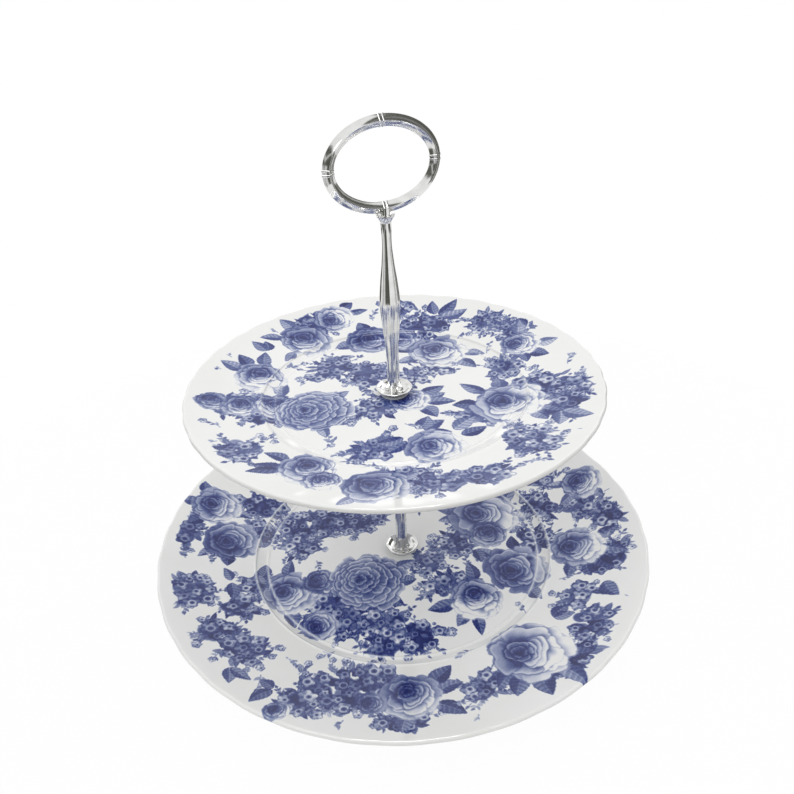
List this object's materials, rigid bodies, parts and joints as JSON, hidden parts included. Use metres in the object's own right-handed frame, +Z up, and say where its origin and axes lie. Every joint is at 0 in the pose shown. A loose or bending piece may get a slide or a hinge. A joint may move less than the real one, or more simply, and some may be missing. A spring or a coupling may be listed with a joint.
{
  "type": "tiered cake stand",
  "caption": "Cake stand with a large and a small fluted china plate on a screwed-together chromed baluster stem, with an oval ring handle on top.",
  "frame": {"origin": "on the axis of the stem, at the surface that the foot ring of the lower plate stands on", "axes": "+Z up the stem, X along the width of the ring handle, Y through the ring"},
  "size_m": [0.2704, 0.2704, 0.2484],
  "materials": {
    "china": "glossy white glaze with a blue printed rose pattern",
    "chrome_plate": "polished chrome plate",
    "steel": "plain zinc-plated steel",
    "soft_pad": "matt translucent white"
  },
  "bodies": {
    "stand": {"lower_plate": "china", "base_screw": "steel", "base_washer": "steel", "base_bush": "soft_pad", "lower_pad": "soft_pad", "lower_dish": "chrome_plate", "lower_post": "chrome_plate", "seat_dish": "chrome_plate", "seat_bush": "soft_pad", "joining_stud": "steel"},
    "upper_tier": {"upper_plate": "china", "upper_pad": "soft_pad"},
    "post_carrier": {"upper_dish": "chrome_plate"},
    "upper_stem": {"upper_post": "chrome_plate", "handle_stud": "steel"},
    "handle_carrier": {"handle_collar": "chrome_plate"},
    "handle": {"handle_ring": "chrome_plate"}
  },
  "joints": [
    {"name": "plate_turn", "type": "hinge", "parent": "stand", "child": "upper_tier", "pos_m": [0, 0, 0.112], "axis": [0, 0, 1], "continuous": true},
    {"name": "post_lift", "type": "slide", "parent": "stand", "child": "post_carrier", "axis": [0, 0, 1], "range_m": [0, 0.01067]},
    {"name": "post_turn", "type": "hinge", "parent": "post_carrier", "child": "upper_stem", "pos_m": [0, 0, 0.116], "axis": [0, 0, 1], "range_deg": [0, 5490]},
    {"name": "handle_lift", "type": "slide", "parent": "upper_stem", "child": "handle_carrier", "axis": [0, 0, 1], "range_m": [0, 0.00326]},
    {"name": "handle_turn", "type": "hinge", "parent": "handle_carrier", "child": "handle", "pos_m": [0, 0, 0.203], "axis": [0, 0, 1], "range_deg": [0, 2610]}
  ],
  "couplings": [
    {"joint": "post_turn", "follows": "post_lift", "rad_per_m": 8976},
    {"joint": "handle_turn", "follows": "handle_lift", "rad_per_m": 13963}
  ]
}
